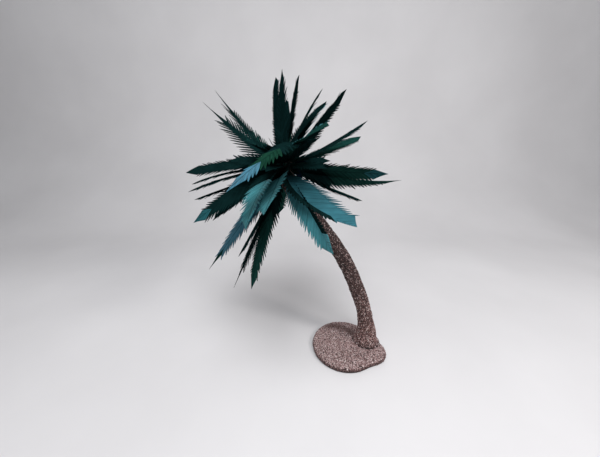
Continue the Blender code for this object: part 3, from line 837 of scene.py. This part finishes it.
class Sheet:
    """Grows the sheet of one frond as a grid, then gives it its thickness."""

    def __init__(self, row, line, rng):
        self.name = row[0]
        self.half_width = row[7] * 0.0005
        self.half_arrow = ARROW_WIDTH_SHARE * row[7] * 0.001
        self.arrow = row[8] * 0.001
        self.fold = row[10]
        self.length = row[5] * 0.001
        self.line = line
        self.rng = rng
        self.points = []
        self.normals = []
        self.uvs = []
        self.faces = []
        self.marks = []
        self.neck = 1.0 - self.arrow / self.length
        self.rows = SLENDER_ROWS
        self.unslit = UNSLIT_SHARE
        if self.name in COMBED:
            self.rows = COMBED_ROWS
            self.unslit = COMBED_SHARE
        if self.name in BROAD:
            self.unslit = BROAD_UNSLIT_SHARE
        self.tints_and_light = FROND_TINTS_AND_PAINTED_LIGHT.get(self.name, ((1.0, PLAIN_TINT_AND_SHADE),))

    def reach(self, share):
        """How far a leaflet at a share of the length goes along its ray."""
        leafy = max(0.0, (share - STEM_SHARE) / (self.neck - STEM_SHARE))
        start = min(1.0, 0.70 + 0.30 * share / STEM_SHARE)
        return self.half_width * leaflet_reach(leafy) * start / math.sin(LEAFLET_SWEEP)

    def half_size(self, hand, share):
        """How much broader or smaller than the rule one half is at a share of the length."""
        at_root, at_neck, _ = HALF_REACH.get((self.name, hand), FULL_REACH)
        return at_root + (at_neck - at_root) * min(1.0, share / self.neck)

    def add(self, share, hand, along, lift=0.0, push=0.0):
        """A point at a way along the ray that leaves the rib at a share of its length."""
        point, ahead, side, over = frame_at(self.line, share)
        leafy = min(1.0, max(0.0, share - STEM_SHARE) / (1.0 - STEM_SHARE))
        fold = math.radians(self.fold * (1.0 + (FOLD_AT_END - 1.0) * leafy))
        out = side * (hand * math.cos(fold)) + over * math.sin(fold)
        normal = over * math.cos(fold) - side * (hand * math.sin(fold))
        width = along * math.sin(LEAFLET_SWEEP)
        spot = point + out * width + ahead * (along * math.cos(LEAFLET_SWEEP) + push)
        spot += over * (lift - SAG * width * width)
        self.points.append(spot)
        self.normals.append(over if hand == 0 else normal)
        self.uvs.append((along, share * self.length + int(self.name) * FROND_SHIFT))
        return len(self.points) - 1

    def grow(self):
        """Leaflets on both hands from the root to the neck, then the uncut end."""
        leafy_length = (self.neck - FIRST_LEAFLET) * self.length
        count = max(6, round(leafy_length / LEAFLET_PITCH))
        pitch = (self.neck - FIRST_LEAFLET) / count
        edges = [FIRST_LEAFLET + pitch * k for k in range(count + 1)]
        spine_edges = [self.add(share, 0, 0.0) for share in edges]
        spine_mids = [self.add(share + pitch / 2, 0, 0.0, PLEAT * 0.2) for share in edges[:-1]]
        last = []
        for hand in (1, -1):
            borders = []
            for share in edges:
                slit = self.reach(share) * self.unslit * self.half_size(hand, share)
                borders.append([self.add(share, hand, slit * 0.5, -PLEAT * 0.6),
                                self.add(share, hand, slit, -PLEAT)])
            for k in range(count):
                self.leaflet(hand, edges[k], pitch, spine_edges[k:k + 2], spine_mids[k],
                             borders[k], borders[k + 1])
            last.append(borders[-1])
        self.uncut_end(spine_edges[-1], last)

    def leaflet(self, hand, start, pitch, spine, spine_mid, left, right):
        """One leaflet with its pleat: joined to its neighbours up to its slit, then free."""
        rng = self.rng
        middle = start + pitch / 2
        size = self.half_size(hand, middle)
        full = self.reach(middle) * (1.0 + rng.uniform(*REACH_SPREAD)) * size
        slit = self.reach(middle) * self.unslit * size
        curl = rng.uniform(*CURL_SPREAD)
        lean = rng.uniform(*LEAN_SPREAD)
        mids = [self.add(middle, hand, slit * 0.5, PLEAT * 0.8), self.add(middle, hand, slit, PLEAT)]
        rows = [[left[1], mids[1], right[1]]]
        for part, width in self.rows:
            along = slit + (full - slit) * part
            ids = []
            for edge in (-0.5, 0.0, 0.5):
                share = middle + edge * pitch * width
                lift = curl * part * part + (PLEAT if edge == 0.0 else -PLEAT) * width
                ids.append(self.add(share, hand, along, lift, lean * part * part))
            rows.append(ids)
        tip = self.add(middle, hand, full, curl, lean)
        quads = [
            (spine[0], spine_mid, mids[0], left[0]),
            (spine_mid, spine[1], right[0], mids[0]),
            (left[0], mids[0], mids[1], left[1]),
            (mids[0], right[0], right[1], mids[1]),
        ]
        for near, far in zip(rows, rows[1:]):
            quads.append((near[0], near[1], far[1], far[0]))
            quads.append((near[1], near[2], far[2], far[1]))
        self.take(quads, hand, middle)
        self.take([(rows[-1][0], rows[-1][1], tip), (rows[-1][1], rows[-1][2], tip)], hand, middle,
                  self.name in FRINGED)

    def take(self, quads, hand, share, fringe=False):
        """Keeps faces, turned for their hand and tinted for their place, with painted shade on a half
        turned from the light and painted highlights on fringed tips.
        """
        dye = next(name for end, name in self.tints_and_light if share <= end)
        # Painted shade: the half turned from the light takes the plain dark tint.
        if PAINTED_SHADE_HALF.get(self.name) == hand and share < self.neck:
            dye = PLAIN_TINT_AND_SHADE
        # Painted highlight: the tips of fringed fronds take the bright tint.
        if fringe:
            dye = FRINGE_HIGHLIGHT
        for quad in quads:
            self.faces.append(quad if hand > 0 else tuple(reversed(quad)))
            self.marks.append(dye_mark(dye))

    def arrow_reaches(self, shares):
        """How far the arrowhead's rays go: up to its shoulder, then in to its point."""
        half = self.half_arrow
        run = BROAD_ARROW_RUN if self.name in BROAD else ARROW_RUN
        across = math.sin(LEAFLET_SWEEP)
        ahead = math.cos(LEAFLET_SWEEP)
        widest = half / across
        slope = run * across - half * ahead
        reaches = []
        for number, share in enumerate(shares):
            x = (share - self.neck) * self.length
            to_end = half * (self.arrow - x) / ((self.arrow - run) * across + half * ahead)
            to_side = half * x / slope if slope > 0.0 else self.arrow
            full = min(to_end, max(to_side, widest * 0.94), widest * 1.05)
            if self.name in FRAYED:
                slit = self.reach(self.neck) * self.unslit * 1.1
                full = max(full * FRAYED_REACH, slit * (1.0 - number / UNCUT_COLUMNS))
            reaches.append(full)
        return reaches

    def uncut_end(self, spine, last):
        """The arrowhead: rays as long as its outline lets them be, with no slits."""
        step = self.arrow / self.length / UNCUT_COLUMNS
        shares = [self.neck + step * k for k in range(UNCUT_COLUMNS)]
        reaches = self.arrow_reaches(shares)
        spines = [spine] + [self.add(share, 0, 0.0) for share in shares[1:]]
        point = self.add(1.0, 0, 0.0)
        for hand, border in zip((1, -1), last):
            size = HALF_REACH.get((self.name, hand), FULL_REACH)[2]
            first = max(reaches[0] * size, self.reach(self.neck) * self.unslit * 1.06)
            columns = [border + [self.add(shares[0], hand, first)]]
            for share, full in zip(shares[1:], reaches[1:]):
                columns.append([self.add(share, hand, full * size * part) for part in (0.33, 0.66, 1.0)])
            quads = []
            for k in range(UNCUT_COLUMNS - 1):
                a = [spines[k]] + columns[k]
                b = [spines[k + 1]] + columns[k + 1]
                quads += [(a[i], b[i], b[i + 1], a[i + 1]) for i in range(3)]
            a = [spines[-1]] + columns[-1]
            quads += [(a[i], point, a[i + 1]) for i in range(3)]
            self.take(quads, hand, 1.0)

    def solid(self):
        """Upper and under skins with walls between them along every cut edge."""
        half = SHEET_THICKNESS / 2
        count = len(self.points)
        verts = [p + n * half for p, n in zip(self.points, self.normals)]
        verts += [p - n * half for p, n in zip(self.points, self.normals)]
        faces = list(self.faces)
        marks = list(self.marks)
        used = {}
        for face, mark in zip(self.faces, self.marks):
            for a, b in zip(face, face[1:] + face[:1]):
                used[(a, b)] = mark + 1
        faces += [tuple(i + count for i in reversed(face)) for face in self.faces]
        marks += [mark + 1 for mark in self.marks]
        for (a, b), mark in used.items():
            if (b, a) not in used:
                faces.append((b, a, a + count, b + count))
                marks.append(mark)
        return verts, faces, marks, self.uvs + self.uvs


def rib_tube(line):
    """The wired rib: a thin rod that tapers to the tip."""
    rings = []
    for step in range(TUBE_STEPS + 1):
        share = step / TUBE_STEPS * 0.975
        point, _, side, over = frame_at(line, share)
        radius = TUBE_RADIUS + TUBE_ROOT_GAIN * max(0.0, 1.0 - share / TUBE_ROOT_SHARE) ** 1.5
        ring = []
        for corner in range(TUBE_CORNERS):
            angle = 2 * math.pi / TUBE_CORNERS * corner
            across = side * (math.cos(angle) * radius * 1.15)
            ring.append(point + across + over * (math.sin(angle) * radius))
        rings.append(ring)
    return loft(rings)


def heart_strips(bark_tree):
    """Narrow pointed strips that stand out from the head all round, between the fronds, mostly dark as
    painted shade of the crown's heart.
    """
    rng = random.Random("heart")
    bodies = []
    for number in range(HEART_STRIPS):
        rise = 1.0 - 1.6 * (number + 0.5) / HEART_STRIPS
        angle = number * math.pi * (3.0 - math.sqrt(5.0))
        flat = math.sqrt(1.0 - rise * rise)
        ahead = Vector((flat * math.cos(angle), flat * math.sin(angle), rise))
        level = Vector((-math.sin(angle), math.cos(angle), 0.0))
        over = ahead.cross(level)
        tilt = rng.uniform(-1.4, 1.4)
        side = level * math.cos(tilt) + over * math.sin(tilt)
        over = ahead.cross(side)
        start = HEAD + ahead * root_distance(ahead, side, over, bark_tree)
        length = HEART_REACH * rng.uniform(0.45, 1.0)
        if ahead.y < -0.2 and ahead.z < 0.25:
            length *= 0.60
        half = STRIP_HALF_WIDTH * rng.uniform(0.75, 1.25)
        bend = rng.uniform(-0.30, 0.10)
        verts = []
        uvs = []
        for share, width in STRIP_RINGS:
            sink = Vector((0.0, 0.0, bend * length * share * share))
            spot = start + ahead * (length * share) + sink
            for hand, lift in ((-1, -0.5), (1, -0.5), (1, 0.5), (-1, 0.5)):
                verts.append(spot + side * (hand * half * width) + over * (lift * SHEET_THICKNESS))
                uvs.append((length * share, number * 0.013 + hand * half))
        faces = [(3, 2, 1, 0), (12, 13, 14, 15)]
        for row in range(len(STRIP_RINGS) - 1):
            a = row * 4
            faces += [(a + k, a + (k + 1) % 4, a + 4 + (k + 1) % 4, a + 4 + k) for k in range(4)]
        # Mostly the dark tint: painted shade in the heart of the crown.
        dye = rng.choices(("dark", "moss", "navy"), (0.70, 0.18, 0.12))[0]
        bodies.append((verts, faces, [dye_mark(dye)] * len(faces), uvs))
    return bodies


def join(bodies):
    """Bodies of verts, faces, marks and uvs put one after another."""
    verts, faces, marks, uvs = [], [], [], []
    for body in bodies:
        base = len(verts)
        verts += body[0]
        faces += [tuple(i + base for i in face) for face in body[1]]
        marks += body[2]
        uvs += body[3]
    return verts, faces, marks, uvs


def make_stage():
    """Pale floor that curves up into a wall behind."""
    rows = [(-3.0, 0.0), (COVE_START, 0.0)]
    for step in range(1, COVE_STEPS + 1):
        angle = math.pi / 2 * step / COVE_STEPS
        rows.append((COVE_START + COVE_RADIUS * math.sin(angle),
                     COVE_RADIUS - COVE_RADIUS * math.cos(angle)))
    rows.append((COVE_START + COVE_RADIUS, 3.0))
    verts, faces = [], []
    for y, z in rows:
        verts += [Vector((-FLOOR_HALF_WIDTH, y, z)), Vector((FLOOR_HALF_WIDTH, y, z))]
    for k in range(len(rows) - 1):
        faces.append((2 * k, 2 * k + 1, 2 * k + 3, 2 * k + 2))
    floor = add_piece("floor", verts, faces, [pale_floor()])


def make_light():
    """Square lamps, and a plain sky."""
    for name, place, aim, size, power, colour in LAMPS:
        data = bpy.data.lights.new(name, "AREA")
        data.shape = "SQUARE"
        data.size = size
        data.energy = power
        data.color = colour
        item = bpy.data.objects.new(name, data)
        item.location = place
        item.rotation_euler = (Vector(aim) - Vector(place)).to_track_quat("-Z", "Y").to_euler()
        bpy.context.scene.collection.objects.link(item)
    world = bpy.data.worlds.new("studio")
    world.use_nodes = True
    sky = world.node_tree.nodes["Background"]
    sky.inputs["Color"].default_value = (0.80, 0.82, 0.85, 1.0)
    sky.inputs["Strength"].default_value = 0.36
    bpy.context.scene.world = world


def make_camera():
    data = bpy.data.cameras.new("camera")
    data.lens = 14.4
    data.sensor_width = 36.0
    data.clip_start = 0.01
    data.clip_end = 50.0
    item = bpy.data.objects.new("camera", data)
    item.location = (-0.0898, -0.3871, 0.3859)
    item.rotation_euler = (math.radians(71.20), 0.0, 0.0)
    bpy.context.scene.collection.objects.link(item)
    bpy.context.scene.camera = item


def make_coats():
    """Glued beds of the plate and the trunk, each with its grains tone by tone."""
    glue, _, _ = new_material("glue_bed", (0.022, 0.013, 0.012), 0.85)
    tree = grain_tree("grain_coat")
    mats = [grain("grains_" + tone[0], *tone[1:]) for tone in GRAIN_TONES]

    bed = add_piece("plate_bed", *plate_coat(), [glue])
    outward(bed)
    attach(bed, "root")
    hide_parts("foot_plate")
    # Lighter tones keep to the plate's top, leaving its side dark as painted shade.
    for number, (tone, mat, share) in enumerate(zip(GRAIN_TONES, mats, PLATE_SHARES)):
        piece = scatter_grains("plate_grains_" + tone[0], bed, tree, mat, {
            "Grains per square metre": 900000.0 * share, "Least distance": 0.0009,
            "Grain size": 0.0019, "Size spread": 0.30, "Seed": 20 + number,
            "Lowest height": PLATE_LOWEST[number]})
        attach(piece, "root")

    # The seam takes the near-black glue colour as painted shade of the crevice under the foot's front.
    seam = add_piece("foot_seam", *loft(seam_rings()), [glue])
    outward(seam)
    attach(seam, "root")

    bed = add_piece("trunk_bed", *loft(trunk_rings(TRUNK_RINGS, TRUNK_SIDES, True)), [glue])
    outward(bed)
    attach(bed, "root")
    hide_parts("trunk")
    for number, (tone, mat, share) in enumerate(zip(GRAIN_TONES, mats, TRUNK_SHARES)):
        piece = scatter_grains("trunk_grains_" + tone[0], bed, tree, mat, {
            "Grains per square metre": 620000.0 * share, "Least distance": 0.0009,
            "Grain size": 0.0018, "Size spread": 0.42, "Seed": 40 + number,
            "Lowest height": PLATE_HEIGHT + 0.0006, "Highest height": HEAD.z - 0.016})
        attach(piece, "root")


def make_fronds():
    """The sheets of all fronds, their ribs, and the strips in the heart of the crown."""
    bark_tree = BVHTree.FromPolygons(*loft(trunk_rings(TRUNK_STEPS, BARE_SIDES, False)))
    mats = []
    # A face and a back material for each tint, painted light and shade among them.
    for name, (colour, sheen) in SHEET_TINTS.items():
        back = shade(colour, BACK_SHADE)
        mats.append(satin_sheet(name + "_satin_face", colour, FACE_ROUGHNESS, sheen))
        mats.append(satin_sheet(name + "_satin_back", back, BACK_ROUGHNESS, sheen * BACK_SHEEN))
    pictured = [], []
    hidden = [], []
    ribs = []
    for number, row in enumerate(FRONDS):
        line = frond_line(row, bark_tree)
        sheet = Sheet(row, line, random.Random("frond " + row[0]))
        sheet.grow()
        bodies, nodes = pictured if number < PICTURED else hidden
        bodies.append(sheet.solid())
        name = "frond_" + row[0]
        nodes += [name + "_rise", name + "_fall"] if row[0] == SPLIT_FROND else [name]
        tube_verts, tube_faces = rib_tube(line)
        flat = [(0.0, point.z) for point in tube_verts]
        # Ribs of the broad fronds take their lit end tint as painted light; the rest take the plain dark
        # tint.
        mark = dye_mark(sheet.tints_and_light[-1][1] if row[0] in BROAD else PLAIN_TINT_AND_SHADE)
        ribs.append((tube_verts, tube_faces, [mark] * len(tube_faces), flat))
    for name, (bodies, nodes) in (("fronds_pictured", pictured), ("fronds_filling", hidden)):
        verts, faces, marks, uvs = join(bodies)
        piece = add_piece(name, verts, faces, mats, True, marks, uvs)
        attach(piece, "root")
        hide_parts(*nodes)
    strips = heart_strips(bark_tree)
    for name, bodies, smooth in (("heart_strips", strips, False), ("frond_ribs", ribs, True)):
        verts, faces, marks, uvs = join(bodies)
        piece = add_piece(name, verts, faces, mats, smooth, marks, uvs)
        outward(piece)
        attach(piece, "root")


def main():
    bpy.context.scene.view_settings.view_transform = "Standard"
    make_camera()
    make_light()
    make_stage()
    make_coats()
    make_fronds()


main()
